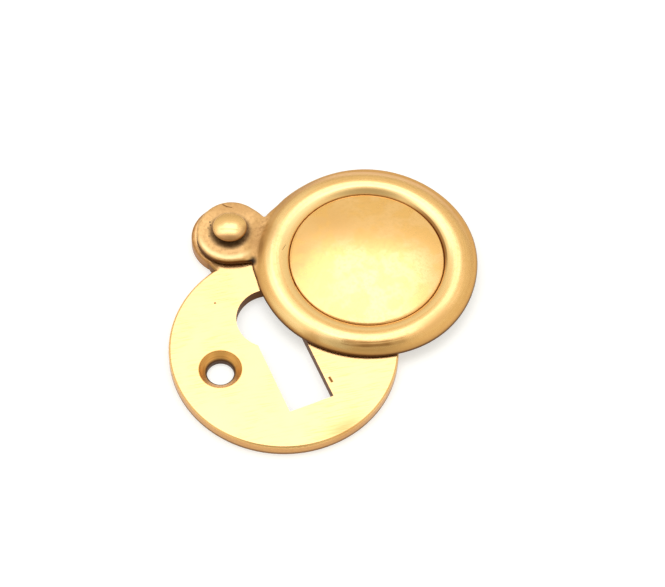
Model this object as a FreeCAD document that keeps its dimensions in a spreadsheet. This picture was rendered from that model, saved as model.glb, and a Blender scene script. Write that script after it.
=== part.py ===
# Covered keyhole escutcheon in cast brass: a round backplate with a keyhole and two
# countersunk screw holes, a round swing cover with a beaded rim, and the rivet it turns on.
# The origin is the middle of the round backplate on its back face. +Z points out of the
# face, +Y points from the middle to the rivet. All sizes are in millimetres and degrees.
import FreeCAD, Part
import math
import os
import Sketcher

os.makedirs("parts", exist_ok=True)
doc = FreeCAD.newDocument("KeyholeEscutcheon")


# The sheet of driving dimensions

DIMENSIONS = {
    # Backplate
    "plate_diameter": 32.0,
    "plate_thickness": 1.8,
    "plate_edge_round": 0.35,
    "pivot_beyond_rim": 4.0,
    "plate_lug_radius": 5.5,
    "lug_root_inset": 1.0,
    "lug_root_beyond_rim": 1.2,
    "key_eye_radius": 4.75,
    "key_eye_height": 5.0,
    "key_slot_width": 6.5,
    "key_slot_reach": 9.9,
    "screw_spacing": 19.0,
    "screw_hole_diameter": 3.8,
    "countersink_diameter": 5.9,
    "countersink_angle": 90.0,
    # Swing cover
    "cover_gap": 0.2,
    "cover_inset": 0.12,
    "cover_swing": 54.2,
    "rim_edge_round": 0.2,
    "rim_wall": 0.03,
    "rim_to_crest": 2.75,
    "crest_height": 1.57,
    "crest_round": 2.7,
    "crest_to_groove": 1.95,
    "groove_width": 0.3,
    "groove_depth": 0.25,
    "field_thickness": 0.93,
    "dome_rise": 1.25,
    "cover_lug_radius": 5.05,
    "cover_lug_thickness": 1.0,
    "lug_edge_round": 0.42,
    "notch_round": 1.0,
    "notch_overlap": 0.2,
    # Pivot rivet
    "shank_diameter": 3.0,
    "running_clearance": 0.05,
    "end_play": 0.05,
    "neck_diameter": 3.6,
    "neck_height": 0.35,
    "head_diameter": 4.86,
    "head_lift": 0.7,
    "head_edge_round": 0.3,
    "head_dome_radius": 4.8,
    "tail_diameter": 4.0,
    "tail_depth": 0.5,
}

sizes = doc.addObject("Spreadsheet::Sheet", "Sizes")
for row, (alias, value) in enumerate(DIMENSIONS.items(), start=1):
    sizes.set(f"A{row}", alias)
    sizes.set(f"B{row}", str(value))
    sizes.setAlias(f"B{row}", alias)
doc.recompute()


# Places that several pieces share, written once as expressions on the sheet

PLATE_RADIUS = "Sizes.plate_diameter / 2"
PLATE_TOP = "Sizes.plate_thickness"
PIVOT_DISTANCE = f"({PLATE_RADIUS} + Sizes.pivot_beyond_rim)"
COVER_BACK = "Sizes.plate_thickness + Sizes.cover_gap"
COVER_RADIUS = f"({PLATE_RADIUS} - Sizes.cover_inset)"
CREST_RADIUS = f"({COVER_RADIUS} - Sizes.rim_to_crest)"
GROOVE_RADIUS = f"({CREST_RADIUS} - Sizes.crest_to_groove)"
LUG_TOP = f"{COVER_BACK} + Sizes.cover_lug_thickness"
SHANK_RADIUS = "Sizes.shank_diameter / 2"
TAIL_RADIUS = "Sizes.tail_diameter / 2"


# Sketch helpers

START, END, CENTRE = 1, 2, 3


def new_body(name):
    """A body whose label is the piece's name."""
    body = doc.addObject("PartDesign::Body", name)
    body.Label = name
    return body


def new_sketch(body, name, plane, offset="0"):
    """A sketch on one of the body's own origin planes, moved along the plane's normal by an expression."""
    sketch = body.newObject("Sketcher::SketchObject", name)
    support = next(item for item in body.Origin.OriginFeatures if item.Role == plane)
    sketch.AttachmentSupport = (support, "")
    sketch.MapMode = "FlatFace"
    sketch.setExpression("AttachmentOffset.Base.z", offset)
    doc.recompute()
    return sketch


def dimension(sketch, kind, where, expression):
    """A driving dimension whose value comes from the sheet."""
    value = float(sketch.evalExpression(expression))
    index = sketch.addConstraint(Sketcher.Constraint(kind, *where, value))
    sketch.setExpression(f"Constraints[{index}]", expression)


def fix_point(sketch, point, across, up):
    """Holds a point at a place given by two expressions, or on an axis where one is 0."""
    for kind, axis, expression in (("DistanceX", -2, across), ("DistanceY", -1, up)):
        if expression == "0":
            sketch.addConstraint(Sketcher.Constraint("PointOnObject", *point, axis))
        else:
            dimension(sketch, kind, (-1, 1, *point), expression)


def add_circle(sketch, across, up, radius):
    """A circle whose centre and radius come from the sheet."""
    centre = FreeCAD.Vector(float(sketch.evalExpression(across)), float(sketch.evalExpression(up)), 0)
    normal = FreeCAD.Vector(0, 0, 1)
    circle = sketch.addGeometry(Part.Circle(centre, normal, float(sketch.evalExpression(radius))))
    fix_point(sketch, (circle, CENTRE), across, up)
    dimension(sketch, "Radius", (circle,), radius)


def arc_through(start, end, centre):
    """The shorter arc between two points about a centre, and whether it runs from start to end."""
    radius = (start - centre).Length
    turns_left = (start - centre).cross(end - centre).z > 0
    first, last = (start, end) if turns_left else (end, start)
    angles = [math.atan2(p.y - centre.y, p.x - centre.x) for p in (first, last)]
    circle = Part.Circle(centre, FreeCAD.Vector(0, 0, 1), radius)
    return Part.ArcOfCircle(circle, *angles), turns_left


def arc_centre(start, end, across=None, up=None):
    """Where an arc's centre lies, given one of its coordinates: it is as far from both ends."""
    if across is not None:
        gap = (start.x - across) ** 2 - (end.x - across) ** 2 + start.y ** 2 - end.y ** 2
        return FreeCAD.Vector(across, gap / (2 * (start.y - end.y)), 0)
    gap = (start.y - up) ** 2 - (end.y - up) ** 2 + start.x ** 2 - end.x ** 2
    return FreeCAD.Vector(gap / (2 * (start.x - end.x)), up, 0)


def add_outline(sketch, corners, arcs):
    """A closed outline. Each corner is two expressions, and the side after a corner that is a
    key of arcs is an arc: its centre's coordinate is named across or up, with an expression."""
    places = [FreeCAD.Vector(*[float(sketch.evalExpression(part)) for part in corner], 0) for corner in corners]
    ends = []
    for index, start in enumerate(places):
        end = places[(index + 1) % len(places)]
        if index in arcs:
            side, expression = arcs[index]
            centre = arc_centre(start, end, **{side: float(sketch.evalExpression(expression))})
            shape, runs_forward = arc_through(start, end, centre)
            item = sketch.addGeometry(shape)
            ends.append(((item, START), (item, END)) if runs_forward else ((item, END), (item, START)))
        else:
            item = sketch.addGeometry(Part.LineSegment(start, end))
            ends.append(((item, START), (item, END)))
    for index, corner in enumerate(corners):
        sketch.addConstraint(Sketcher.Constraint("Coincident", *ends[index - 1][1], *ends[index][0]))
        fix_point(sketch, ends[index][0], *corner)
    for index, (side, expression) in arcs.items():
        centre = (ends[index][0][0], CENTRE)
        if expression == "0":
            axis = -2 if side == "across" else -1
            sketch.addConstraint(Sketcher.Constraint("PointOnObject", *centre, axis))
        else:
            kind = "DistanceX" if side == "across" else "DistanceY"
            dimension(sketch, kind, (-1, 1, *centre), expression)


def turn(body, kind, sketch):
    """Revolves a sketch a full turn about its own upright axis, adding or cutting."""
    feature = body.newObject(f"PartDesign::{kind}", f"{sketch.Name}_{kind}")
    feature.Profile = sketch
    feature.ReferenceAxis = (sketch, ["V_Axis"])
    feature.Angle = 360.0
    doc.recompute()
    return feature


def pierce(body, sketch):
    """Cuts a sketch right through the body, both ways from the sketch's plane."""
    pocket = body.newObject("PartDesign::Pocket", f"{sketch.Name}_pocket")
    pocket.Profile = sketch
    pocket.Type = "ThroughAll"
    pocket.Midplane = True
    doc.recompute()
    return pocket


# Backplate: the disc, its pivot lug and the lug's root are turned shapes with a softened front edge

def add_rounded_disc(body, name, radius, offset):
    """A flat disc from the back face to the plate's front, its front edge rounded."""
    profile = new_sketch(body, name, "XZ_Plane", offset)
    shoulder = f"{PLATE_TOP} - Sizes.plate_edge_round"
    flat = f"{radius} - Sizes.plate_edge_round"
    corners = [("0", "0"), (radius, "0"), (radius, shoulder), (flat, PLATE_TOP), ("0", PLATE_TOP)]
    add_outline(profile, corners, {2: ("up", shoulder)})
    return turn(body, "Revolution", profile)


backplate = new_body("backplate")
add_rounded_disc(backplate, "plate_disc", PLATE_RADIUS, "0")
add_rounded_disc(backplate, "plate_lug", "Sizes.plate_lug_radius", f"-{PIVOT_DISTANCE}")
root_radius = "(Sizes.plate_lug_radius - Sizes.lug_root_inset)"
add_rounded_disc(backplate, "lug_root", root_radius, f"-({PLATE_RADIUS} + Sizes.lug_root_beyond_rim)")

# The keyhole: a round eye for the key's shaft over a straight slot for its bit
key_eye = new_sketch(backplate, "key_eye", "XY_Plane")
add_circle(key_eye, "0", "Sizes.key_eye_height", "Sizes.key_eye_radius")
pierce(backplate, key_eye)

key_slot = new_sketch(backplate, "key_slot", "XY_Plane")
slot_side = "Sizes.key_slot_width / 2"
slot_end = "-Sizes.key_slot_reach"
slot_corners = [
    (f"-{slot_side}", slot_end),
    (slot_side, slot_end),
    (slot_side, "Sizes.key_eye_height"),
    (f"-{slot_side}", "Sizes.key_eye_height"),
]
add_outline(key_slot, slot_corners, {})
pierce(backplate, key_slot)

# Two countersunk screw holes, left and right of the middle
screw_points = new_sketch(backplate, "screw_points", "XY_Plane", PLATE_TOP)
add_circle(screw_points, "-Sizes.screw_spacing / 2", "0", "Sizes.screw_hole_diameter / 2")
add_circle(screw_points, "Sizes.screw_spacing / 2", "0", "Sizes.screw_hole_diameter / 2")
screw_holes = backplate.newObject("PartDesign::Hole", "screw_holes")
screw_holes.Profile = screw_points
doc.recompute()
screw_holes.DepthType = "ThroughAll"
screw_holes.HoleCutType = "Countersink"
screw_holes.HoleCutCustomValues = True
screw_holes.setExpression("Diameter", "Sizes.screw_hole_diameter")
screw_holes.setExpression("HoleCutDiameter", "Sizes.countersink_diameter")
screw_holes.setExpression("HoleCutCountersinkAngle", "Sizes.countersink_angle")

# The rivet's hole in the lug, with a countersink at the back for the peened tail
rivet_seat = new_sketch(backplate, "rivet_seat", "XZ_Plane", f"-{PIVOT_DISTANCE}")
seat_corners = [
    ("0", "0"),
    (TAIL_RADIUS, "0"),
    (SHANK_RADIUS, "Sizes.tail_depth"),
    (SHANK_RADIUS, PLATE_TOP),
    ("0", PLATE_TOP),
]
add_outline(rivet_seat, seat_corners, {})
turn(backplate, "Groove", rivet_seat)


# Swing cover, drawn shut about its own pivot and then swung open about it

swing_cover = new_body("swing_cover")

# The lug and its neck: three tangent arcs, closed by a root that the bead buries
neck = new_sketch(swing_cover, "cover_neck", "XY_Plane", COVER_BACK)
flank_radius = f"({COVER_RADIUS} - Sizes.notch_overlap)"
lug_r, notch_r, flank_r, crest_r, reach = [
    float(neck.evalExpression(size))
    for size in ("Sizes.cover_lug_radius", "Sizes.notch_round", flank_radius, CREST_RADIUS, PIVOT_DISTANCE)
]
upright = FreeCAD.Vector(0, 0, 1)
pivot = FreeCAD.Vector(0, 0, 0)
disc_middle = FreeCAD.Vector(0, -reach, 0)
notch_down = (reach**2 + (lug_r + notch_r) ** 2 - (flank_r + notch_r) ** 2) / (2 * reach)
notch_out = math.sqrt((lug_r + notch_r) ** 2 - notch_down**2)
lug_start = math.atan2(-notch_down, notch_out)
lug_arc = neck.addGeometry(Part.ArcOfCircle(Part.Circle(pivot, upright, lug_r), lug_start, math.pi - lug_start))
flank_circle = neck.addGeometry(Part.Circle(disc_middle, upright, flank_r), True)
neck.addConstraint(Sketcher.Constraint("Coincident", lug_arc, CENTRE, -1, 1))
dimension(neck, "Radius", (lug_arc,), "Sizes.cover_lug_radius")
fix_point(neck, (flank_circle, CENTRE), "0", f"-{PIVOT_DISTANCE}")
dimension(neck, "Radius", (flank_circle,), flank_radius)

root_ends = []
for hand, lug_end in ((1, START), (-1, END)):
    notch_middle = FreeCAD.Vector(hand * notch_out, -notch_down, 0)
    at_lug = notch_middle * (lug_r / (lug_r + notch_r))
    at_flank = disc_middle + (notch_middle - disc_middle) * (flank_r / (flank_r + notch_r))
    at_root = FreeCAD.Vector(at_flank.x, crest_r - reach, 0)
    arc, runs_forward = arc_through(at_lug, at_flank, notch_middle)
    notch_arc = neck.addGeometry(arc)
    first, last = (START, END) if runs_forward else (END, START)
    flank = neck.addGeometry(Part.LineSegment(at_flank, at_root))
    neck.addConstraint(Sketcher.Constraint("Tangent", notch_arc, first, lug_arc, lug_end))
    neck.addConstraint(Sketcher.Constraint("Tangent", notch_arc, last, flank_circle))
    neck.addConstraint(Sketcher.Constraint("Coincident", flank, START, notch_arc, last))
    neck.addConstraint(Sketcher.Constraint("Vertical", flank))
    dimension(neck, "Radius", (notch_arc,), "Sizes.notch_round")
    dimension(neck, "DistanceY", (-1, 1, flank, END), f"{CREST_RADIUS} - {PIVOT_DISTANCE}")
    root_ends.append((flank, at_root))
(right_flank, right_root), (left_flank, left_root) = root_ends
root = neck.addGeometry(Part.LineSegment(right_root, left_root))
neck.addConstraint(Sketcher.Constraint("Coincident", root, START, right_flank, END))
neck.addConstraint(Sketcher.Constraint("Coincident", root, END, left_flank, END))
neck_pad = swing_cover.newObject("PartDesign::Pad", "neck_pad")
neck_pad.Profile = neck
neck_pad.setExpression("Length", "Sizes.cover_lug_thickness")
doc.recompute()


def round_front_edges(feature, expression):
    """Rounds the arcs round the front of a pad, and leaves its straight edges."""
    front = feature.Shape.BoundBox.ZMax
    names = []
    for number, edge in enumerate(feature.Shape.Edges, start=1):
        lies_in_front = edge.BoundBox.ZMin > front - edge.Tolerance
        if lies_in_front and isinstance(edge.Curve, Part.Circle):
            names.append(f"Edge{number}")
    fillet = feature.getParentGeoFeatureGroup().newObject("PartDesign::Fillet", f"{feature.Name}_round")
    fillet.Base = (feature, names)
    fillet.setExpression("Radius", expression)
    doc.recompute()
    return fillet


round_front_edges(neck_pad, "Sizes.lug_edge_round")

# The round cover: flat back, rounded rim, a bead with a straight outer slope that touches the
# rim's round and the crest's round, a fine groove and a shallow dome
cover_profile = new_sketch(swing_cover, "cover_disc", "XZ_Plane", PIVOT_DISTANCE)
back_round = f"{COVER_BACK} + Sizes.rim_edge_round"
front_round = f"{back_round} + Sizes.rim_wall"
crest_top = f"{COVER_BACK} + Sizes.crest_height"
field_top = f"{COVER_BACK} + Sizes.field_thickness"
rounds_across = "(Sizes.rim_to_crest - Sizes.rim_edge_round)"
rounds_down = "(Sizes.rim_edge_round + Sizes.rim_wall + Sizes.crest_round - Sizes.crest_height)"
slope = (
    f"(asin((Sizes.crest_round - Sizes.rim_edge_round) / hypot({rounds_across}; {rounds_down}))"
    f" - atan2({rounds_down}; {rounds_across}))"
)
cover_corners = [
    ("0", COVER_BACK),
    (f"{COVER_RADIUS} - Sizes.rim_edge_round", COVER_BACK),
    (COVER_RADIUS, back_round),
    (COVER_RADIUS, front_round),
    (
        f"{COVER_RADIUS} - Sizes.rim_edge_round * (1 - sin({slope}))",
        f"{front_round} + Sizes.rim_edge_round * cos({slope})",
    ),
    (
        f"{CREST_RADIUS} + Sizes.crest_round * sin({slope})",
        f"{crest_top} - Sizes.crest_round * (1 - cos({slope}))",
    ),
    (CREST_RADIUS, crest_top),
    (GROOVE_RADIUS, field_top),
    (f"{GROOVE_RADIUS} - Sizes.groove_width / 2", f"{field_top} - Sizes.groove_depth"),
    (f"{GROOVE_RADIUS} - Sizes.groove_width", field_top),
    ("0", f"{field_top} + Sizes.dome_rise"),
]
cover_arcs = {
    1: ("up", back_round),
    3: ("up", front_round),
    5: ("across", CREST_RADIUS),
    6: ("across", CREST_RADIUS),
    9: ("across", "0"),
}
add_outline(cover_profile, cover_corners, cover_arcs)
turn(swing_cover, "Revolution", cover_profile)

# The bore that runs on the rivet's shank
pivot_bore = new_sketch(swing_cover, "pivot_bore", "XY_Plane")
add_circle(pivot_bore, "0", "0", f"{SHANK_RADIUS} + Sizes.running_clearance")
pierce(swing_cover, pivot_bore)

swing_cover.setExpression("Placement.Base.y", PIVOT_DISTANCE)
swing_cover.setExpression("Placement.Rotation.Angle", "Sizes.cover_swing")


# Pivot rivet: a peened tail, a shank, a neck that holds the lug down, and a domed head whose
# rounded edge runs smoothly into the dome

pivot_rivet = new_body("pivot_rivet")
rivet_profile = new_sketch(pivot_rivet, "rivet_profile", "XZ_Plane")
neck_radius = "Sizes.neck_diameter / 2"
head_radius = "Sizes.head_diameter / 2"
neck_foot = f"{LUG_TOP} + Sizes.end_play"
head_under = f"{LUG_TOP} + Sizes.head_lift"
head_widest = f"{head_under} + Sizes.head_edge_round"
edge_middle = f"({head_radius} - Sizes.head_edge_round)"
dome_to_edge = "(Sizes.head_dome_radius - Sizes.head_edge_round)"
dome_depth = f"sqrt({dome_to_edge}^2 - {edge_middle}^2)"
dome_middle = f"{head_widest} - {dome_depth}"
rivet_corners = [
    ("0", "0"),
    (TAIL_RADIUS, "0"),
    (SHANK_RADIUS, "Sizes.tail_depth"),
    (SHANK_RADIUS, neck_foot),
    (neck_radius, neck_foot),
    (neck_radius, f"{neck_foot} + Sizes.neck_height"),
    (edge_middle, head_under),
    (head_radius, head_widest),
    (
        f"{edge_middle} * Sizes.head_dome_radius / {dome_to_edge}",
        f"{dome_middle} + {dome_depth} * Sizes.head_dome_radius / {dome_to_edge}",
    ),
    ("0", f"{dome_middle} + Sizes.head_dome_radius"),
]
rivet_arcs = {6: ("up", head_widest), 7: ("up", head_widest), 8: ("across", "0")}
add_outline(rivet_profile, rivet_corners, rivet_arcs)
turn(pivot_rivet, "Revolution", rivet_profile)
pivot_rivet.setExpression("Placement.Base.y", PIVOT_DISTANCE)

doc.recompute()


# Every object is sound before anything is written

for item in doc.Objects:
    if "Invalid" in item.State or "Error" in item.State:
        raise RuntimeError(f"{item.Label} did not recompute: {item.State}")

pieces = (backplate, swing_cover, pivot_rivet)
for piece in pieces:
    if piece.Shape.isNull() or not piece.Shape.isValid():
        raise RuntimeError(f"{piece.Label} has no sound shape")

for piece in pieces:
    piece.Shape.exportStep(f"parts/{piece.Label}.step")
    box = piece.Shape.BoundBox
    print(
        f"{piece.Label}: {len(piece.Shape.Solids)} solid, {piece.Shape.Volume:.1f} mm3, "
        f"x {box.XMin:.2f} to {box.XMax:.2f}, y {box.YMin:.2f} to {box.YMax:.2f}, z {box.ZMin:.2f} to {box.ZMax:.2f}"
    )
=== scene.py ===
"""Dresses a covered brass keyhole escutcheon: its surfaces, the light it stands in and the camera."""
import math

import bpy
import numpy as np
from mathutils import Matrix, Vector
from mathutils.geometry import delaunay_2d_cdt


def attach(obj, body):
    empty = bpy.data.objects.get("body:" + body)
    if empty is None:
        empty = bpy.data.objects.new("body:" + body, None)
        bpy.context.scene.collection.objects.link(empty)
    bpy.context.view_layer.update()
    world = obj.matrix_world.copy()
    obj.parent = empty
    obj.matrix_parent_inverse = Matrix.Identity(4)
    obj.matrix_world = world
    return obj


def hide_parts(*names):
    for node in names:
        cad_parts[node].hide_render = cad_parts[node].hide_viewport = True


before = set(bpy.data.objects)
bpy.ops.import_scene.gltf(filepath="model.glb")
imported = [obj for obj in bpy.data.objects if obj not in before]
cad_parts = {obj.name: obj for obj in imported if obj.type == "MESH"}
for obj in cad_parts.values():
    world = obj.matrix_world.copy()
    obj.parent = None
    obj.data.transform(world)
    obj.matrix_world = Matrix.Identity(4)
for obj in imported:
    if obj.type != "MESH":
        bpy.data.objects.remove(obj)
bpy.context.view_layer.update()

MM = 0.001

# The photograph's frame and viewing angle, with the plate's own axes as the frame's axes

PHOTO_WIDTH = 665
FOCAL_PIXELS = 2295.6
CAMERA_DISTANCE = 325.8 * MM
CAMERA_ELEVATION = math.radians(57.72)
CAMERA_ROLL = math.radians(2.55)
PLATE_TURN = math.radians(25.51)
AIM = Vector((6.42, 10.17, 0.0)) * MM
SENSOR_WIDTH = 36.0

# The viewer's near and left sides, seen from above in the plate's frame
NEAR_SIDE = (-math.sin(PLATE_TURN), -math.cos(PLATE_TURN))
LEFT_SIDE = (-math.cos(PLATE_TURN), math.sin(PLATE_TURN))


def photo_axes():
    """The camera's right, up and back directions in the plate's frame, and the turn that gives them."""
    turn = Matrix.Rotation(-PLATE_TURN, 3, "Z")
    back = Vector((0, -math.cos(CAMERA_ELEVATION), math.sin(CAMERA_ELEVATION)))
    level = Vector((1, 0, 0))
    upward = back.cross(level)
    right = math.cos(CAMERA_ROLL) * level + math.sin(CAMERA_ROLL) * upward
    up = math.cos(CAMERA_ROLL) * upward - math.sin(CAMERA_ROLL) * level
    return turn @ right, turn @ up, turn @ back, turn


def add_camera():
    """The photograph's camera."""
    right, up, back, turn = photo_axes()
    lens = bpy.data.cameras.new("photo_camera")
    lens.sensor_fit = "HORIZONTAL"
    lens.sensor_width = SENSOR_WIDTH
    lens.lens = FOCAL_PIXELS / PHOTO_WIDTH * SENSOR_WIDTH
    lens.clip_start = 0.01
    camera = bpy.data.objects.new("photo_camera", lens)
    place = Matrix((right, up, back)).transposed().to_4x4()
    place.translation = turn @ AIM + back * CAMERA_DISTANCE
    camera.matrix_world = place
    bpy.context.scene.collection.objects.link(camera)
    bpy.context.scene.camera = camera


# Shader maths

class Value:
    """One socket of a shader. Arithmetic on it adds Math nodes."""

    def __init__(self, shader, socket):
        self.shader = shader
        self.socket = socket

    def _math(self, operation, *inputs):
        return self.shader.node("Math", {"operation": operation}, *inputs)

    def __add__(self, other):
        return self._math("ADD", self, other)

    def __radd__(self, other):
        return self._math("ADD", other, self)

    def __sub__(self, other):
        return self._math("SUBTRACT", self, other)

    def __rsub__(self, other):
        return self._math("SUBTRACT", other, self)

    def __mul__(self, other):
        return self._math("MULTIPLY", self, other)

    def __rmul__(self, other):
        return self._math("MULTIPLY", other, self)

    def __abs__(self):
        return self._math("ABSOLUTE", self)


class Shader:
    """The node tree of a material or of the world."""

    def __init__(self, owner):
        owner.use_nodes = True
        self.tree = owner.node_tree
        self.tree.nodes.clear()

    def node(self, kind, settings=None, *inputs, out=0, **named):
        """Adds a node: its settings first, then its inputs in order or by name. Gives one of its outputs."""
        node = self.tree.nodes.new("ShaderNode" + kind)
        for name, value in (settings or {}).items():
            setattr(node, name, value)
        for index, value in enumerate(inputs):
            self.feed(node.inputs[index], value)
        for name, value in named.items():
            self.feed(node.inputs[name.replace("_", " ")], value)
        return Value(self, node.outputs[out]) if node.outputs else node

    def feed(self, socket, value):
        """Links a value to a socket, or sets the socket to it."""
        if isinstance(value, Value):
            self.tree.links.new(value.socket, socket)
        elif value is not None:
            socket.default_value = value

    def step(self, value, low, high, start=0.0, end=1.0):
        """Goes smoothly from start to end as value goes from low to high."""
        settings = {"interpolation_type": "SMOOTHSTEP"}
        return self.node("MapRange", settings, value, low, high, start, end)

    def fade(self, value, low, high):
        """Goes smoothly from 1 to 0 as value goes from low to high."""
        return self.step(value, low, high, 1.0, 0.0)

    def band(self, value, low, high, soft):
        """1 between low and high, falling to 0 over a soft edge at both."""
        half = soft / 2
        return self.step(value, low - half, low + half) * self.fade(value, high - half, high + half)

    def dot(self, vector, direction):
        """How far a vector goes along a direction."""
        return self.node("VectorMath", {"operation": "DOT_PRODUCT"}, vector, direction, out="Value")

    def mix(self, factor, first, second):
        """A colour between two colours."""
        settings = {"data_type": "RGBA"}
        return self.node("Mix", settings, factor, None, None, None, None, None, first, second, out=2)


# The studio: soft boxes in a warm room, darker where the viewer stands. A patch of its sky reaches from
# low to high with a soft edge, first by how near it lies and then by how far left.

SOFT_BOX = (0.95, 1.0, 1.2, 1.0)
ROOM = (0.96, 0.90, 0.66, 1.0)
OVERHEAD = ((-0.59, 0.0, 0.14), (-0.33, 0.31, 0.16))
WINDOW = ((-0.46, 0.2, 0.2), (0.3, 0.63, 0.12))
SIDE = ((-0.4, 0.12, 0.2), (-0.66, -0.3, 0.14))
VIEWER = ((0.24, 0.9, 0.22), (-0.45, 0.4, 0.3))
LOW_WALLS = (0.1, 0.5)


def light_studio():
    """A world whose brightness depends on direction, as soft boxes round the object would give."""
    world = bpy.data.worlds.new("studio")
    bpy.context.scene.world = world
    shader = Shader(world)
    direction = shader.node("TexCoord", None, out="Generated")
    nearer = shader.dot(direction, (*NEAR_SIDE, 0))
    leftward = shader.dot(direction, (*LEFT_SIDE, 0))
    upward = shader.dot(direction, (0, 0, 1))

    def patch(near_reach, left_reach):
        return shader.band(nearer, *near_reach) * shader.band(leftward, *left_reach)

    boxes = 1.45 * patch(*OVERHEAD) + patch(*WINDOW) + 0.35 * patch(*SIDE)
    room = 0.96 - 0.42 * patch(*VIEWER) - 0.2 * shader.fade(upward, *LOW_WALLS)
    room_light = shader.node("Background", None, ROOM, room)
    box_light = shader.node("Background", None, SOFT_BOX, boxes)
    shader.node("OutputWorld", None, shader.node("AddShader", None, room_light, box_light))


# A wide floor, a hair above the plate's back, so that the back shows from below

FLOOR_REACH = 20.0
FLOOR_HEIGHT = 0.01 * MM
FLOOR_SHOWN = (0.6, 0.6, 0.62, 1.0)
FLOOR_GLOW = 0.54
FLOOR_LIT = (0.8, 0.8, 0.8, 1.0)
WHITE = (1.0, 1.0, 1.0, 1.0)


def add_floor():
    """A pale matt floor that looks white to the camera and in reflections, apart from the shadow."""
    mesh = bpy.data.meshes.new("floor")
    corners = [
        (across * FLOOR_REACH, along * FLOOR_REACH, FLOOR_HEIGHT)
        for across, along in ((-1, -1), (1, -1), (1, 1), (-1, 1))
    ]
    mesh.from_pydata(corners, [], [(0, 1, 2, 3)])
    floor = bpy.data.objects.new("floor", mesh)
    bpy.context.scene.collection.objects.link(floor)
    paint = bpy.data.materials.new("pale_floor")
    shader = Shader(paint)
    camera, glossy, passing = [
        shader.node("LightPath", out=f"Is {kind} Ray") for kind in ("Camera", "Glossy", "Transmission")
    ]
    lit = shader.node("BsdfDiffuse", None, FLOOR_LIT)
    pale = shader.node("BsdfDiffuse", None, FLOOR_SHOWN)
    glow = shader.node("Emission", None, WHITE, FLOOR_GLOW)
    shown = shader.node("AddShader", None, pale, glow)
    shader.node("OutputMaterial", None, shader.node("MixShader", None, camera + glossy + passing, lit, shown))
    mesh.materials.append(paint)


# Brass, from painted highlight to dirt and painted shade

PAINTED_HIGHLIGHT_BRASS = (1.0, 0.72, 0.38, 1.0)
BRASS = (0.93, 0.60, 0.28, 1.0)
GRAIN_BRASS = (0.84, 0.50, 0.20, 1.0)
PAINTED_SHADE_BRASS = (0.66, 0.38, 0.15, 1.0)
BROWN_PATINA = (0.20, 0.085, 0.02, 1.0)
DIRT_AND_SHADE = (0.022, 0.008, 0.003, 1.0)


class Brass(Shader):
    """A brass finish, drawn in millimetres in the part's own frame."""

    def __init__(self, name):
        self.material = bpy.data.materials.new(name)
        super().__init__(self.material)
        at = self.node("TexCoord", None, out="Object")
        self.place = self.vector("SCALE", at, Scale=1 / MM)
        axes = self.node("SeparateXYZ", None, self.place)
        self.x, self.y, self.z = [Value(self, axes.socket.node.outputs[axis]) for axis in "XYZ"]
        facing = self.node("SeparateXYZ", None, self.node("TexCoord", None, out="Normal"))
        self.facing_up = Value(self, facing.socket.node.outputs["Z"])
        self.colour = BRASS
        self.roughness = 0.2
        self.metallic = 1.0
        self.height = 0.0

    def vector(self, operation, *inputs, out="Vector", **named):
        return self.node("VectorMath", {"operation": operation}, *inputs, out=out, **named)

    def noise(self, scale, detail=2.0, place=None, roughness=0.5):
        """Noise from 0 to 1, about scale lumps to the millimetre."""
        at = place or self.place
        return self.node("TexNoise", None, at, Scale=scale, Detail=detail, Roughness=roughness)

    def distance(self, centre):
        """How far a point lies from an upright axis."""
        flat = self.vector("MULTIPLY", self.vector("SUBTRACT", self.place, (*centre, 0)), (1, 1, 0))
        return self.vector("LENGTH", flat, out="Value")

    def beside(self, centre, side):
        """How far a point lies to one side of an upright axis."""
        return self.dot(self.vector("SUBTRACT", self.place, (*centre, 0)), (*side, 0))

    def spot(self, centre, radius, soft=0.5):
        """1 within a radius of a place, fading out over a share of it."""
        away = self.vector("DISTANCE", self.place, centre, out="Value")
        return self.fade(away, radius * (1 - soft), radius * (1 + soft))

    def scratch(self, start, end, width):
        """1 along a straight mark between two places, seen from above."""
        start, end = Vector(start), Vector(end)
        along = (end - start).normalized()
        across = Vector((-along.y, along.x))
        middle = (start + end) / 2
        run = abs(self.dot(self.place, (*along, 0)) - along.dot(middle))
        side = abs(self.dot(self.place, (*across, 0)) - across.dot(middle))
        reach = (end - start).length / 2
        return self.fade(run, reach * 0.7, reach) * self.fade(side, width * 0.2, width)

    def coat(self, mask, colour, roughness, metallic=1.0):
        """Lays another colour and roughness over the brass where the mask is 1, for wear and dirt, and for
        painted light and shade.
        """
        self.colour = self.mix(mask, self.colour, colour)
        self.roughness = self.roughness + mask * (roughness - self.roughness)
        if metallic < 1:
            self.metallic = self.metallic + mask * (metallic - self.metallic)

    def finish(self):
        """Joins the layers in one surface and gives the material."""
        bump = self.node("Bump", None, 1.0, MM, Height=self.height)
        surface = self.node(
            "BsdfPrincipled", None,
            Base_Color=self.colour, Metallic=self.metallic, Roughness=self.roughness, Normal=bump,
        )
        self.node("OutputMaterial", None, surface)
        return self.material


# Places and marks, in millimetres

PLATE_MIDDLE = (0.0, 0.0)
PLATE_TOP = 1.8
SCREW_HOLE_REACH = 9.5
PIVOT = (0.0, 20.0)
COVER_MIDDLE = (16.221, 8.301)
LUG_TOP = 3.0

# Marks that are cut into the cover: start, end, width and depth, then place and size
COVER_SCRATCHES = (
    ((0.7, 24.75), (1.3, 23.95), 0.19, 0.06),
    ((1.15, 24.1), (1.9, 23.6), 0.14, 0.04),
    ((5.55, 13.9), (6.45, 14.7), 0.06, 0.01),
)
COVER_PITS = (((-2.04, 22.5), 0.15), ((-2.16, 22.0), 0.14), ((-2.68, 21.65), 0.1), ((-3.06, 20.32), 0.1))

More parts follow.
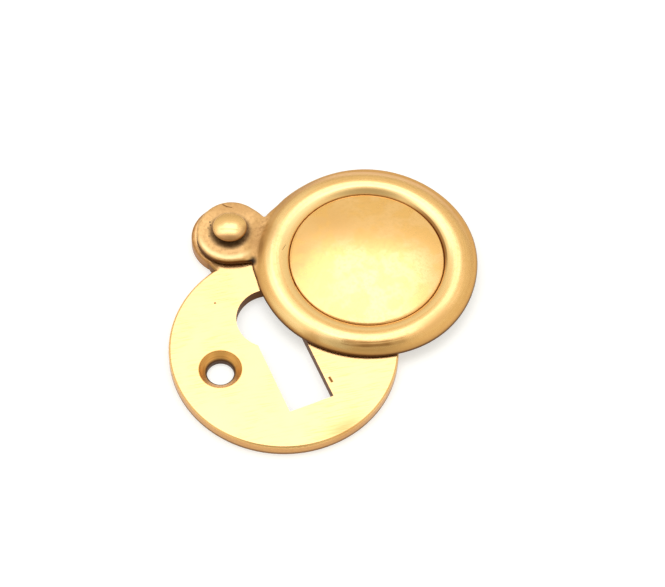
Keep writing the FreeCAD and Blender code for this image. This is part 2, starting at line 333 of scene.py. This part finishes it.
# The plate's own finishes
BRUSHED_BRASS = (0.80, 0.47, 0.17, 1.0)
RUBBED_RIM = (0.70, 0.37, 0.13, 1.0)
PLATE_WALL = (0.60, 0.30, 0.085, 1.0)
PLATE_WALL_FOOT = (0.22, 0.11, 0.05, 1.0)
KEYHOLE_PAINTED_SHADE = (0.14, 0.055, 0.014, 1.0)
LUG_EDGE_PAINTED_SHADE = (0.40, 0.19, 0.07, 1.0)
COUNTERSINK = (0.86, 0.47, 0.16, 1.0)
TURNED_RINGS = (0.58, 0.27, 0.08, 1.0)
COUNTERSINK_RIM = (0.42, 0.21, 0.05, 1.0)
SCREW_HOLE_PAINTED_SHADE = (0.10, 0.045, 0.02, 1.0)
PLATE_BACK = (0.52, 0.29, 0.11, 1.0)
PLATE_BACK_LINES = (0.34, 0.17, 0.055, 1.0)


def plate_brass():
    """Flat, brushed by hand, with dull walls, a stained countersink and painted shade inside the holes."""
    brass = Brass("plate_brass")
    turn = Matrix.Rotation(math.radians(-10), 3, "Z")
    along, across = turn @ Vector((1, 0, 0)), turn @ Vector((0, 1, 0))
    brushed = brass.node(
        "CombineXYZ", None,
        brass.dot(brass.place, along) * 0.35, brass.dot(brass.place, across) * 7.0, brass.z,
    )
    lines = brass.noise(1.0, 3.0, brushed)
    clouds = brass.noise(0.22)
    speckle = brass.noise(2.6, 3.0)
    flat = brass.step(brass.facing_up, 0.86, 0.995)
    wall = brass.fade(brass.facing_up, 0.2, 0.7)
    from_middle = brass.distance(PLATE_MIDDLE)
    from_pivot = brass.distance(PIVOT)
    brass.roughness = 0.2 + 0.1 * clouds
    brass.height = flat * (0.0012 * lines + 0.02 * clouds)

    # The front has brush marks and a worn spot by the near rim
    brush_marks = brass.step(lines, 0.5, 0.66) * brass.step(clouds, 0.35, 0.6) * flat
    brass.coat(brush_marks * 0.6, BRUSHED_BRASS, 0.34)
    worn = brass.spot((2.7, -14.6, PLATE_TOP), 2.4, 0.9) * brass.step(from_middle, 13.2, 15.4)
    brass.coat(worn * (0.3 + 0.7 * lines), RUBBED_RIM, 0.35)

    # The walls are dark at the foot, the keyhole's walls carry painted shade, the lug's edge carries painted
    # shade where the cover's lug shades it, and its corners are stained
    brass.coat(wall * (0.6 + 0.4 * speckle), PLATE_WALL, 0.36)
    brass.coat(wall * brass.fade(brass.z, 0.25, 0.65) * 0.8, PLATE_WALL_FOOT, 0.45)
    # Painted shade: the keyhole's walls are near-black
    brass.coat(wall * brass.fade(from_middle, 12.6, 13.4), KEYHOLE_PAINTED_SHADE, 0.5)
    # Painted shade: the lug's edge under the cover's lug is browned
    lug_edge = brass.step(from_pivot, 4.7, 5.2) * brass.step(brass.y, 15.7, 16.6)
    brass.coat(lug_edge * (0.6 + 0.5 * speckle), LUG_EDGE_PAINTED_SHADE, 0.44)
    for hand in (-1, 1):
        brass.coat(brass.spot((hand * 4.1, 16.0, 0.9), 1.1, 0.7) * wall, BROWN_PATINA, 0.5)
        brass.coat(brass.spot((hand * 3.95, 15.8, PLATE_TOP), 0.55, 0.6) * 0.7, BROWN_PATINA, 0.5)

    # The countersinks are turned, with a dark rim, and painted shade darkens the hole's wall
    for hand in (-1, 1):
        hole = brass.distance((hand * SCREW_HOLE_REACH, 0.0))
        turned = brass.node("CombineXYZ", None, hole * 6.0, brass.x * 0.3, brass.y * 0.3)
        sunk = brass.fade(hole, 3.0, 3.1)
        brass.coat(sunk, COUNTERSINK, 0.36)
        brass.coat(sunk * brass.step(brass.noise(1.0, 3.0, turned), 0.45, 0.65) * 0.5, TURNED_RINGS, 0.4)
        brass.coat(brass.band(hole, 2.9, 3.02, 0.1) * 0.6, COUNTERSINK_RIM, 0.45)
        # Painted shade: the screw hole's wall is near-black
        brass.coat(brass.fade(hole, 1.98, 2.3), SCREW_HOLE_PAINTED_SHADE, 0.5, 0.5)

    # A scratch and a speck on the front, then the brushed back, with dirt round the rivet's tail
    brass.coat(brass.scratch((3.86, -6.8), (3.95, -7.95), 0.3), BROWN_PATINA, 0.4)
    brass.coat(brass.spot((-6.19, 10.25, PLATE_TOP), 0.14), BROWN_PATINA, 0.4)
    back = brass.fade(brass.facing_up, -0.9, -0.5)
    brass.coat(back, PLATE_BACK, 0.42)
    brass.coat(back * brass.step(lines, 0.45, 0.65) * 0.5, PLATE_BACK_LINES, 0.5)
    brass.coat(back * brass.band(from_pivot, 1.98, 2.12, 0.08), DIRT_AND_SHADE, 0.6)
    return brass.finish()


# The cover's own finishes
WORN_EDGE_AND_HIGHLIGHT = (0.97, 0.72, 0.38, 1.0)
BLOTCHED_DOME = (0.90, 0.55, 0.205, 1.0)
DULL_DOME_AND_SHADE = (0.78, 0.45, 0.18, 1.0)
LINED_BEAD = (0.82, 0.50, 0.20, 1.0)
OUTER_BEAD = (0.78, 0.44, 0.165, 1.0)
CREST_PAINTED_SHADE = (0.70, 0.42, 0.17, 1.0)
FAR_BEAD_PAINTED_SHADE = (0.64, 0.36, 0.14, 1.0)
RIM = (0.58, 0.31, 0.11, 1.0)
FAR_RIM_PAINTED_SHADE = (0.42, 0.22, 0.08, 1.0)
FRONT_BROWN_PATCH = (0.40, 0.20, 0.068, 1.0)
SMUDGED_RIM = (0.44, 0.225, 0.075, 1.0)
SLOPE_BROWN_PATCH = (0.5, 0.26, 0.09, 1.0)
GROOVE_PAINTED_SHADE = (0.30, 0.13, 0.04, 1.0)
CAST_BRASS = (0.86, 0.54, 0.24, 1.0)
CAST_GRAIN = (0.54, 0.29, 0.105, 1.0)
FAR_LUG_PAINTED_SHADE = (0.52, 0.28, 0.105, 1.0)
LUG_STAIN = (0.42, 0.21, 0.075, 1.0)
CORNER_DIRT_AND_SHADE = (0.45, 0.23, 0.08, 1.0)
RIVET_GRIME_AND_SHADOW = (0.09, 0.036, 0.012, 1.0)
COVER_WALL_CAST_AND_SHADE = (0.26, 0.11, 0.03, 1.0)
LUG_WALL_PAINTED_SHADE = (0.15, 0.055, 0.014, 1.0)
LOWER_RIM_PAINTED_SHADE = (0.13, 0.05, 0.014, 1.0)
UNDERSIDE_PAINTED_SHADE = (0.10, 0.04, 0.012, 1.0)

# Duller spots on the dome, partly uneven polish and partly painted shade that dims its reflection: place,
# radius and strength
DOME_DULL_AND_SHADE_SPOTS = (
    ((6.6, 11.4, 3.4), 3.9, 0.9),
    ((13.6, 15.6, 3.7), 3.0, 0.45),
    ((7.4, 5.0, 3.2), 3.4, 0.5),
    ((19.4, -0.8, 3.1), 2.4, 0.4),
)
# Spots of painted shade on the bead's crest, which narrow its highlight: place and strength
CREST_SHADE_SPOTS = (((20.8, -4.6, 3.4), 0.85), ((3.4, 3.8, 3.4), 0.5))
# Darker brown patches on the bead's front: place, radius and strength
FRONT_BROWN_PATCHES = (
    ((8.8, -4.6, 3.1), 2.0, 0.7),
    ((11.4, -5.6, 3.1), 2.2, 0.9),
    ((14.0, -6.3, 3.2), 1.7, 0.4),
)
# Stains on the lug beside the bead: place and radius
LUG_STAINS = (((4.1, 18.1, LUG_TOP), 1.9), ((2.7, 16.4, LUG_TOP), 1.2))


class CoverBrass(Brass):
    """The cover's brass, with the places and noises that its parts share."""

    def __init__(self):
        super().__init__("cover_brass")
        self.radius = self.distance(COVER_MIDDLE)
        self.from_pivot = self.distance(PIVOT)
        self.nearness = self.beside(PIVOT, NEAR_SIDE)
        self.clouds = self.noise(0.16)
        self.fine = self.noise(2.2, 3.0)
        self.grain = self.noise(1.7, 5.0, roughness=0.75)
        ringed = self.node("CombineXYZ", None, self.radius * 5.0, self.x * 0.14, self.y * 0.14)
        self.rings = self.noise(1.0, 3.0, ringed)
        self.bead = self.step(self.radius, 11.1, 11.3)
        self.lug = self.step(self.radius, 15.0, 15.9) * self.fade(self.from_pivot, 5.9, 6.6)
        self.corner = self.band(self.radius, 15.3, 16.2, 0.7) * self.fade(self.from_pivot, 6.4, 7.2)

    def ring(self, inner, outer, soft):
        """1 on a ring of the disc."""
        return self.band(self.radius, inner, outer, soft)


def coat_dome(brass):
    """The dome has duller spots, partly painted shade, and faint blotches, and all of the cover a fine grain.
    """
    dome = brass.fade(brass.radius, 10.7, 10.9)
    for place, size, strength in DOME_DULL_AND_SHADE_SPOTS:
        brass.coat(brass.spot(place, size, 0.8) * dome * strength, DULL_DOME_AND_SHADE, 0.24)
    brass.coat(brass.step(brass.noise(0.4), 0.44, 0.6) * dome * 0.8, BLOTCHED_DOME, 0.25)
    brass.coat(brass.step(brass.grain, 0.46, 0.62) * 0.5, GRAIN_BRASS, 0.3)


def coat_bead(brass):
    """The bead is polished unevenly and duller down its outer side, with painted shade on its far side and
    crest, painted highlights on its inner slope and front, and brown patches on its front.
    """
    radius, fine, rings = brass.radius, brass.fine, brass.rings
    leftness = brass.beside(COVER_MIDDLE, LEFT_SIDE)
    nearness = brass.beside(COVER_MIDDLE, NEAR_SIDE)
    brass.coat(brass.bead * brass.step(rings, 0.48, 0.64) * 0.45, LINED_BEAD, 0.27)
    # Painted shade: the bead's outer half is darker on the far side
    brass.coat(brass.step(radius, 13.9, 15.0) * brass.fade(nearness, -10.0, -2.0) * 0.8, FAR_BEAD_PAINTED_SHADE, 0.34)
    for place, strength in CREST_SHADE_SPOTS:
        brass.coat(brass.spot(place, 2.8, 0.8) * brass.ring(13.1, 14.6, 0.5) * strength, CREST_PAINTED_SHADE, 0.3)
    # Painted highlights: the bead's inner slope, and its crest on the left, are lightened
    brass.coat(brass.ring(11.2, 12.3, 0.4) * (0.5 + 0.5 * rings), PAINTED_HIGHLIGHT_BRASS, 0.25)
    brass.coat(brass.ring(13.5, 14.4, 0.4) * brass.step(leftness, 5.0, 10.0) * 0.6, PAINTED_HIGHLIGHT_BRASS, 0.25)
    brass.coat(brass.step(radius, 13.7, 15.8) * (0.45 + 0.5 * fine), OUTER_BEAD, 0.3)
    # Painted highlights: lighter patches on the bead's outer side at the near left and the front
    near_left = brass.spot((2.1, 3.3, 2.7), 4.0, 0.7) * brass.ring(14.8, 15.5, 0.4)
    brass.coat(near_left * 0.85, PAINTED_HIGHLIGHT_BRASS, 0.24)
    beside_patches = brass.spot((6.3, -2.6, 3.0), 2.3, 0.5) * brass.ring(13.8, 15.3, 0.3)
    brass.coat(beside_patches * 0.8, PAINTED_HIGHLIGHT_BRASS, 0.24)
    # Painted shade: the rim's far side is darkened
    brass.coat(brass.spot((11.1, 22.7, 2.5), 5.0, 0.6) * brass.step(radius, 14.4, 15.3) * 0.65, FAR_RIM_PAINTED_SHADE, 0.42)
    brass.coat(brass.step(radius, 15.2, 15.7) * (0.45 + 0.5 * brass.grain), RIM, 0.4, 0.4)
    for place, size, strength in FRONT_BROWN_PATCHES:
        patch = brass.spot(place, size, 0.3) * brass.ring(14.0, 14.8, 0.3)
        brass.coat(patch * (0.35 + 0.65 * brass.step(rings, 0.38, 0.5)) * strength, FRONT_BROWN_PATCH, 0.32)
    smudge = brass.spot((3.5, -1.1, 2.6), 1.4, 0.8) * brass.step(radius, 14.3, 15.2)
    brass.coat(smudge * (0.3 + 0.6 * brass.grain), SMUDGED_RIM, 0.35)


def coat_groove(brass):
    """The groove is dirty, the bead's slope beside it has a darker brown patch on the far right, and painted
    shade darkens the bead's inner wall beside the groove on the right.
    """
    slope_patch = brass.spot((21.5, 18.8, 3.2), 2.6, 0.7) * brass.ring(11.4, 11.9, 0.4)
    brass.coat(slope_patch * brass.rings * 0.5, SLOPE_BROWN_PATCH, 0.3)
    groove = brass.ring(10.97, 11.09, 0.1) * brass.step(brass.z, 2.4, 2.5)
    brass.coat(groove * (0.5 + 0.5 * brass.fine), BROWN_PATINA, 0.5)
    # Painted shade: the bead's inner wall beside the groove on the right
    groove_shade = brass.spot((27.2, 8.2, 3.0), 5.4, 0.5) * brass.ring(11.0, 11.45, 0.15)
    brass.coat(groove_shade * 0.85, GROOVE_PAINTED_SHADE, 0.4)


def coat_lug(brass):
    """The lug is as cast and satin, with wear and a painted highlight along its near edge, painted shade on
    its far side, grime and a painted shadow round the rivet, and dirt with painted shade in the corners.
    """
    radius, from_pivot, nearness = brass.radius, brass.from_pivot, brass.nearness
    fine, grain, lug = brass.fine, brass.grain, brass.lug
    brass.coat(lug * (0.75 + 0.2 * fine), CAST_BRASS, 0.42)
    brass.coat(lug * brass.step(grain, 0.46, 0.6) * 0.4, CAST_GRAIN, 0.48)
    # Painted shade: the lug's far side is darker
    brass.coat(lug * brass.fade(nearness, -4.5, -1.5) * 0.65, FAR_LUG_PAINTED_SHADE, 0.5)
    for place, size in LUG_STAINS:
        brass.coat(brass.spot(place, size, 0.8) * (0.2 + 0.7 * grain), LUG_STAIN, 0.5)
    # Wear and a painted highlight: the near edge is lightened
    near_edge = brass.band(from_pivot, 4.15, 4.75, 0.6) * brass.step(nearness, 0.6, 3.2)
    brass.coat(near_edge * brass.step(radius, 16.2, 17.0) * (0.7 + 0.5 * fine), WORN_EDGE_AND_HIGHLIGHT, 0.3)
    # Dirt in the cast grain and painted shade in the crease where the lug meets the disc
    brass.coat(brass.corner * brass.step(grain, 0.4, 0.62) * 0.75, CORNER_DIRT_AND_SHADE, 0.5)
    # Painted shade: a duller, darker spot on the bead's outer slope by the lug's corner
    by_corner = brass.spot((2.9, 15.4, 2.9), 1.9, 0.8) * brass.step(radius, 14.2, 15.0)
    brass.coat(by_corner * 0.6, PAINTED_SHADE_BRASS, 0.42)
    # Grime and a painted shadow: the dark crescent round the rivet's head
    brass.coat(brass.fade(from_pivot, 2.5, 3.4) * (0.55 + 0.6 * grain), RIVET_GRIME_AND_SHADOW, 0.55)
    for place, size in COVER_PITS:
        brass.coat(brass.spot((*place, LUG_TOP), size * 0.8), DIRT_AND_SHADE, 0.5)
    for start, end, width, _ in COVER_SCRATCHES:
        brass.coat(brass.scratch(start, end, width * 0.8), BROWN_PATINA, 0.4)


def coat_underside_shade(brass):
    """Painted shade darkens the walls, which are also dull as cast, the rim's lower edge, the corner over the
    plate and the back.
    """
    wall = brass.fade(brass.facing_up, 0.3, 0.75)
    # Dull cast finish with painted shade on the walls
    brass.coat(wall * 0.9, COVER_WALL_CAST_AND_SHADE, 0.45)
    # Painted shade: the lug's wall near the plate is near-black
    lug_wall = wall * brass.step(brass.radius, 15.9, 16.6) * brass.fade(brass.z, 2.5, 2.75)
    brass.coat(lug_wall, LUG_WALL_PAINTED_SHADE, 0.5)
    # Painted shade: the low corner where the lug meets the disc over the plate is near-black
    brass.coat(brass.spot((1.1, 14.4, 2.0), 0.85, 0.4) * brass.fade(brass.z, 2.5, 2.8), DIRT_AND_SHADE, 0.55)
    # Painted shade: the rim's lower edge over the gap
    brass.coat(brass.step(brass.radius, 15.3, 15.6) * brass.fade(brass.z, 2.2, 2.5), LOWER_RIM_PAINTED_SHADE, 0.5)
    # Painted shade: the back, which the plate reflects
    brass.coat(brass.fade(brass.facing_up, -0.9, -0.1), UNDERSIDE_PAINTED_SHADE, 0.55)


def cover_brass():
    """A polished dome and bead with a dirty groove, a dull rim and a cast, stained lug."""
    brass = CoverBrass()
    brass.roughness = 0.2 + 0.08 * brass.clouds
    coat_dome(brass)
    coat_bead(brass)
    coat_groove(brass)
    coat_lug(brass)
    coat_underside_shade(brass)
    polished = 0.035 * brass.clouds + 0.002 * brass.grain + 0.003 * brass.bead * brass.rings
    brass.height = polished + 0.05 * (brass.lug + brass.corner) * brass.grain
    return brass.finish()


# The rivet's own finishes
HEAD_EDGE_PAINTED_SHADE = (0.56, 0.31, 0.12, 1.0)
HEAD_FRONT_PAINTED_SHADE = (0.50, 0.28, 0.14, 1.0)
HEAD_LOW_SIDE_PAINTED_SHADE = (0.42, 0.22, 0.09, 1.0)
HEAD_PAINTED_STREAK = (0.62, 0.37, 0.15, 1.0)
TAIL = (0.60, 0.34, 0.13, 1.0)


def rivet_brass():
    """A polished head with painted shade on its lower edge, front, far and low sides and a painted streak in
    its highlight, over a neck with grime and painted shade, and a dull tail.
    """
    brass = Brass("rivet_brass")
    fine = brass.noise(1.6, 3.0)
    brass.roughness = 0.2 + 0.08 * fine
    brass.height = 0.006 * brass.noise(0.6) + 0.001 * fine
    from_pivot = brass.distance(PIVOT)
    nearness = brass.beside(PIVOT, NEAR_SIDE)
    # Painted shade: the head's lower edge and its front are browned
    brass.coat(brass.fade(brass.z, 4.05, 4.45) * (0.5 + 0.4 * fine), HEAD_EDGE_PAINTED_SHADE, 0.34)
    brass.coat(brass.step(nearness, 1.5, 1.95) * (0.45 + 0.5 * fine), HEAD_FRONT_PAINTED_SHADE, 0.36)
    # Painted shade: the head's far side is duller
    brass.coat(brass.fade(nearness, -1.6, -0.3) * 0.4, PAINTED_SHADE_BRASS, 0.3)
    # Painted shade: the head's low side over the lug
    low_side = brass.step(from_pivot, 1.5, 2.15) * brass.step(PIVOT[1] - brass.y, 0.3, 1.3)
    brass.coat(low_side * (0.55 + 0.3 * fine), HEAD_LOW_SIDE_PAINTED_SHADE, 0.38)
    # Painted reflection: a thin dark streak in the head's highlight band
    streak = brass.band(nearness, 0.72, 0.96, 0.16) * brass.fade(from_pivot, 1.2, 1.9)
    brass.coat(streak * 0.6, HEAD_PAINTED_STREAK, 0.3)
    # Grime and painted shade on the neck under the head
    brass.coat(brass.fade(brass.z, 3.75, 3.95), DIRT_AND_SHADE, 0.6)
    brass.coat(brass.fade(brass.z, 0.1, 0.5), TAIL, 0.4)
    return brass.finish()


# The swing cover's own skin: its bead is rounder, its lug runs down into the bead, and it carries its marks.
# Places are in millimetres; "toward" runs from the cover's middle to the pivot, and "aside" across that.

COVER_BACK = 2.0
EDGE_ROUND = 0.42
BACK_EDGE = 0.04

RIM_RADIUS = 15.88
ROOT_WIDENING = 0.42
ROOT_FULL, ROOT_END = math.radians(13), math.radians(25)

GROOVE_RADIUS = 11.03
GROOVE_HALF_WIDTH = 0.15
GROOVE_DEPTH = 0.25
BEAD_FOOT = 11.18
CREST_RADIUS = 13.02
CREST_TOP = 3.57
CREST_DRIFT = 0.2
CREST_DRIFT_ANGLE = math.radians(200)
OUTER_FALL = 0.176
FIELD_TOP = 2.93
DOME_TOP = 4.18
DOME_EDGE = 10.88

BORE_RADIUS = 1.55
LUG_RADIUS = 5.05
LUG_TIP = 4.75
LUG_FAR_SIDE = 5.2
LUG_DIP = 0.5
LUG_DIP_START, LUG_DIP_END = 17.9, 15.8
LUG_JOIN = 0.24
LUG_JOIN_LIFT = 0.06

# The lug's straight flanks: half their width at the root and where they meet the round end, and how far
# before the pivot that is
ROOT_HALF_WIDTH, ROOT_REACH = 3.886, 4.17
END_HALF_WIDTH, END_REACH = 4.763, 1.677
ROOT_RADIUS = 16.3

# How fine the skin is
OUTLINE_STEP = 0.2
EDGE_INSETS = (0, 0.008, 0.03, 0.065, 0.11, 0.165, 0.23, 0.31, 0.42, 0.56)
EDGE_CLEARANCE = 0.64
BORE_CLEARANCE = 0.09
BORE_SIDES = 72
FAR_INSIDE = 9.0
RING_RADII = np.concatenate([
    np.linspace(0.6, 10.8, 34), np.linspace(10.88, 11.18, 9), np.linspace(11.28, 15.6, 36),
])
ROWS, COLUMNS = 90, 75
ROW_STEP, COLUMN_STEP = 0.15, 0.13

middle = np.array(COVER_MIDDLE)
pivot = np.array(PIVOT)
pivot_reach = np.linalg.norm(pivot - middle)
toward = (pivot - middle) / pivot_reach
aside = np.array([-toward[1], toward[0]])


def smooth(value, low, high):
    """0 below low, 1 above high, and an even curve between."""
    share = np.clip((value - low) / (high - low), 0, 1)
    return share * share * (3 - 2 * share)


def circle(radius, turn):
    """Points round a middle at the given angles."""
    return np.column_stack([radius * np.cos(turn), radius * np.sin(turn)])


def rim_radius(angle):
    """The disc's outline by the angle from the lug: nearly round, and wider at the lug's root."""
    away = np.abs((angle + np.pi) % (2 * np.pi) - np.pi)
    root = ROOT_WIDENING * (1 - smooth(away, ROOT_FULL, ROOT_END))
    worn = 0.05 * (np.sin(3 * angle + 0.6) + np.sin(5 * angle + 2.0)) + 0.06 * np.cos(angle + 1.4) - 0.06
    return RIM_RADIUS + root + worn * smooth(away, 0.3, 0.8)


def on_cover(along, across):
    """Points of the part's frame from places along and across the line to the pivot."""
    return middle + np.outer(along, toward) + np.outer(across, aside)


def soften(line, corners):
    """Evens out a closed outline twice, and keeps it sharp near its corners."""
    for _ in range(2):
        mean = sum(np.roll(line, shift, axis=0) for shift in range(-3, 4)) / 7
        near_corner = np.min([np.linalg.norm(line - corner, axis=1) for corner in corners], axis=0)
        share = (1 - smooth(near_corner, 0.3, 0.7))[:, None]
        line = line * (1 - share) + mean * share
    return line


def cover_outline():
    """The outline of the disc and its lug, with straight flanks that meet the disc in tight corners."""
    corner_angle = np.arcsin(ROOT_HALF_WIDTH / ROOT_RADIUS)
    corner = circle(rim_radius(corner_angle), np.array([corner_angle]))[0]
    out, down = corner[1], pivot_reach - corner[0]
    lug_angle = np.arctan2(out, down) + np.arccos(LUG_RADIUS / np.hypot(out, down))
    turn = np.linspace(corner_angle, 2 * np.pi - corner_angle, 1800)
    disc = circle(rim_radius(turn), turn)
    tip = np.linspace(np.pi + lug_angle, 3 * np.pi - lug_angle, 400)
    along = np.where(np.cos(tip) > 0, LUG_TIP, LUG_RADIUS) * np.cos(tip)
    across = np.where(np.sin(tip) < 0, LUG_FAR_SIDE, LUG_RADIUS) * np.sin(tip)
    lug = np.column_stack([pivot_reach + along, across])
    low_flank = np.linspace(disc[-1], lug[0], 40)[1:-1]
    high_flank = np.linspace(lug[-1], disc[0], 40)[1:-1]
    line = soften(np.concatenate([disc, low_flank, lug, high_flank]), (corner, corner * (1, -1)))
    closed = np.vstack([line, line[:1]])
    run = np.concatenate([[0], np.cumsum(np.linalg.norm(np.diff(closed, axis=0), axis=1))])
    stops = np.linspace(0, run[-1], int(run[-1] / OUTLINE_STEP), endpoint=False)
    return on_cover(np.interp(stops, run, closed[:, 0]), np.interp(stops, run, closed[:, 1]))


def inward(line, distance):
    """A closed outline moved inwards."""
    along = np.roll(line, -1, axis=0) - np.roll(line, 1, axis=0)
    along /= np.linalg.norm(along, axis=1)[:, None]
    return line + distance * np.column_stack([-along[:, 1], along[:, 0]])


def cap(top, rise, span, away):
    """The height of a round cap that falls by rise over span, at a distance from its middle."""
    ball = (span**2 + rise**2) / (2 * rise)
    return top - ball + np.sqrt(np.maximum(ball**2 - away**2, 0))


def with_marks(height, places):
    """The front's height with its scratches and pits cut in."""
    for start, end, width, depth in COVER_SCRATCHES:
        start, end = np.array(start), np.array(end)
        length = np.linalg.norm(end - start)
        unit = (end - start) / length
        along = (places - start) @ unit
        beside = np.abs((places - start) @ np.array([-unit[1], unit[0]]))
        ends = smooth(along, 0, length * 0.3) * (1 - smooth(along, length * 0.7, length))
        height = height - depth * (1 - smooth(beside, 0, width)) * ends
    for place, size in COVER_PITS:
        away = np.linalg.norm(places - np.array(place), axis=1)
        height = height - size * 0.5 * (1 - smooth(away, 0, size))
    return height


def front_height(places):
    """How high the cover's front lies at each place, before its edges are rounded."""
    offset = places - middle
    radius = np.linalg.norm(offset, axis=1)
    angle = np.arctan2(offset[:, 1], offset[:, 0])
    crest = CREST_RADIUS + CREST_DRIFT * np.cos(angle - CREST_DRIFT_ANGLE)
    dome = cap(DOME_TOP, DOME_TOP - FIELD_TOP, DOME_EDGE, radius)
    inner = cap(CREST_TOP, CREST_TOP - FIELD_TOP, crest - BEAD_FOOT, radius - crest)
    outer = CREST_TOP - OUTER_FALL * (radius - crest) ** 2
    bead = np.where(radius < crest, inner, outer)
    height = np.where(radius < GROOVE_RADIUS, dome, bead)
    from_groove = (radius - GROOVE_RADIUS) / GROOVE_HALF_WIDTH
    height = np.where(np.abs(from_groove) < 1, FIELD_TOP, height)
    height = height - GROOVE_DEPTH * (0.5 + 0.5 * np.cos(np.pi * np.clip(from_groove, -1, 1)))
    lug = LUG_TOP - LUG_DIP * (1 - smooth(radius, LUG_DIP_END, LUG_DIP_START))
    lug = np.where(radius > CREST_RADIUS + 1, lug, 0)
    overlap = np.maximum(LUG_JOIN - np.abs(height - lug), 0) / LUG_JOIN
    return with_marks(np.maximum(height, lug) + LUG_JOIN_LIFT * overlap**2, places)


def from_outline(places, outline):
    """How far each place lies from the outline's nearest point."""
    parts = np.array_split(places, len(places) // 4000 + 1)
    return np.concatenate([np.linalg.norm(part[:, None] - outline, axis=2).min(axis=1) for part in parts])


def field_places(outline):
    """Places inside the rounded edge: rings on the disc, and staggered rows over the lug and its corners."""
    rings = [middle[None, :]]
    for ring in RING_RADII:
        turn = np.linspace(0, 2 * np.pi, max(48, int(ring * 30)), endpoint=False)
        rings.append(middle + circle(ring, turn))
    rows, columns = np.mgrid[0:ROWS, 0:COLUMNS]
    along = 15.72 + columns * COLUMN_STEP
    across = (rows - (ROWS - 1) / 2 + 0.5 * (columns % 2)) * ROW_STEP
    grid = on_cover(along.ravel(), across.ravel())
    field = np.concatenate([*rings, grid[np.linalg.norm(grid - middle, axis=1) > 15.68]])

    offset = field - middle
    along, across = offset @ toward, offset @ aside
    from_pivot = np.linalg.norm(field - pivot, axis=1)
    spread = (END_HALF_WIDTH - ROOT_HALF_WIDTH) / (ROOT_REACH - END_REACH)
    flank = ROOT_HALF_WIDTH + (along - (pivot_reach - ROOT_REACH)) * spread
    inside = np.linalg.norm(offset, axis=1) < rim_radius(np.arctan2(across, along))
    inside |= from_pivot < LUG_RADIUS
    inside |= (np.abs(across) < flank) & (along > 15.5) & (along < pivot_reach)
    inside &= from_pivot > BORE_RADIUS + BORE_CLEARANCE
    return field[inside & (from_outline(field, outline) > EDGE_CLEARANCE)]


def loop_edges(start, length):
    """The edges of a closed loop of points."""
    return [(start + index, start + (index + 1) % length) for index in range(length)]


def fill(places, rim_count, bore_start):
    """Triangles between the rim's loop and the bore's, as numbers of places."""
    points = [Vector(place) for place in places]
    edges = loop_edges(0, rim_count) + loop_edges(bore_start, BORE_SIDES)
    _, _, faces, origins, _, _ = delaunay_2d_cdt(points, edges, [list(range(rim_count))], 1, 1e-7)
    faces = [[origins[index][0] for index in face] for face in faces]
    reach = [np.linalg.norm(places[face].mean(axis=0) - pivot) for face in faces]
    return [face for face, away in zip(faces, reach) if away > BORE_RADIUS * 0.999]


def swing_cover_mesh():
    """The cover as one closed skin: its front with a rounded edge, its wall, its flat back and its bore."""
    outline = cover_outline()
    count = len(outline)
    bore = pivot + circle(BORE_RADIUS, np.linspace(0, 2 * np.pi, BORE_SIDES, endpoint=False))
    field = field_places(outline)
    places = np.concatenate([inward(outline, inset) for inset in EDGE_INSETS] + [bore, field])
    depths = np.repeat([*EDGE_INSETS, FAR_INSIDE], [count] * len(EDGE_INSETS) + [BORE_SIDES + len(field)])

    height = front_height(places)
    edge = np.minimum(EDGE_ROUND, 0.75 * (height - COVER_BACK))
    height = height - edge + np.sqrt(np.maximum(edge**2 - np.maximum(edge - depths, 0) ** 2, 0))

    bore_start = count * len(EDGE_INSETS)
    wall_start = len(places)
    back_start = wall_start + count
    back_bore = back_start + count
    back_places = np.concatenate([inward(outline, BACK_EDGE), bore])
    vertices = np.concatenate([
        np.column_stack([places, height]),
        np.column_stack([outline, np.full(count, COVER_BACK + BACK_EDGE)]),
        np.column_stack([back_places, np.full(len(back_places), COVER_BACK)]),
    ])
    faces = fill(places, count, bore_start)
    faces += [[back_start + index for index in reversed(face)] for face in fill(back_places, count, count)]
    for here, after in loop_edges(0, count):
        faces.append([wall_start + here, wall_start + after, after, here])
        faces.append([back_start + here, back_start + after, wall_start + after, wall_start + here])
    for here, after in loop_edges(0, BORE_SIDES):
        faces.append([bore_start + here, bore_start + after, back_bore + after, back_bore + here])

    mesh = bpy.data.meshes.new("polished_cover")
    mesh.from_pydata((vertices * MM).tolist(), [], faces)
    mesh.validate()
    mesh.update()
    mesh.shade_smooth()
    mesh.set_sharp_from_angle(angle=math.radians(50))
    return mesh


def add_cover():
    """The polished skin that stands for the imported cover."""
    cover = bpy.data.objects.new("polished_cover", swing_cover_mesh())
    bpy.context.scene.collection.objects.link(cover)
    cover.data.materials.append(cover_brass())
    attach(cover, "cover")
    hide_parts("swing_cover")


def dress(node, material):
    """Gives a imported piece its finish."""
    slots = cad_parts[node].data.materials
    slots.clear()
    slots.append(material)


add_camera()
light_studio()
add_floor()
dress("backplate", plate_brass())
add_cover()
dress("pivot_rivet", rivet_brass())

bpy.context.scene.view_settings.view_transform = "Standard"
